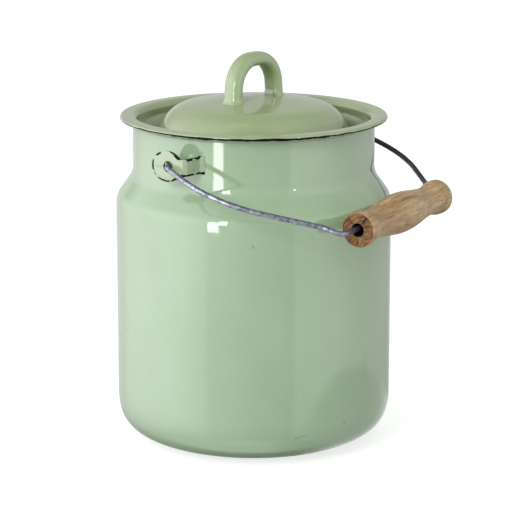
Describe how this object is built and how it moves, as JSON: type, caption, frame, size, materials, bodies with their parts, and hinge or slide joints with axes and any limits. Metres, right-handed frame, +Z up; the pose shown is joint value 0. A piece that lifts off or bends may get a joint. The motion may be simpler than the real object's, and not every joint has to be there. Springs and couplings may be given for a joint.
{
  "type": "milk pail",
  "caption": "Lidded enamelled steel milk pail with a narrower neck, a loop on the lid and a swinging wire bail with a turned wooden grip.",
  "frame": {"origin": "centre of the flat base, on the surface that the pail stands on", "axes": "+Z up along the pail's axis; +X from the left ear to the right ear, along the bail's pivot line; the bail is lowered towards -Y"},
  "size_m": [0.1868, 0.186, 0.2273],
  "materials": {
    "enamel_pail": "glossy pale green vitreous enamel on steel",
    "enamel_lid": "glossy pale green vitreous enamel on steel, a little yellower",
    "zinc_wire": "dull galvanised wire",
    "turned_wood": "turned, thinly lacquered and worn"
  },
  "bodies": {
    "pail": {"pail_body": "enamel_pail", "ear_left": "enamel_pail", "ear_right": "enamel_pail"},
    "lid": {"lid": "enamel_lid", "lid_loop": "enamel_lid"},
    "bail": {"bail_wire": "zinc_wire"},
    "grip": {"grip": "turned_wood"}
  },
  "joints": [
    {"name": "lid_lift", "type": "slide", "parent": "pail", "child": "lid", "axis": [0, 0, 1], "range_m": [0, 0.08]},
    {"name": "bail_swing", "type": "hinge", "parent": "pail", "child": "bail", "pos_m": [0, 0, 0.1733], "axis": [-1, 0, 0], "range_deg": [-2.8, 219]},
    {"name": "grip_spin", "type": "hinge", "parent": "bail", "child": "grip", "pos_m": [0.00915, -0.09313, 0.14232], "axis": [0.998, 0.0596, 0.0198], "continuous": true}
  ]
}
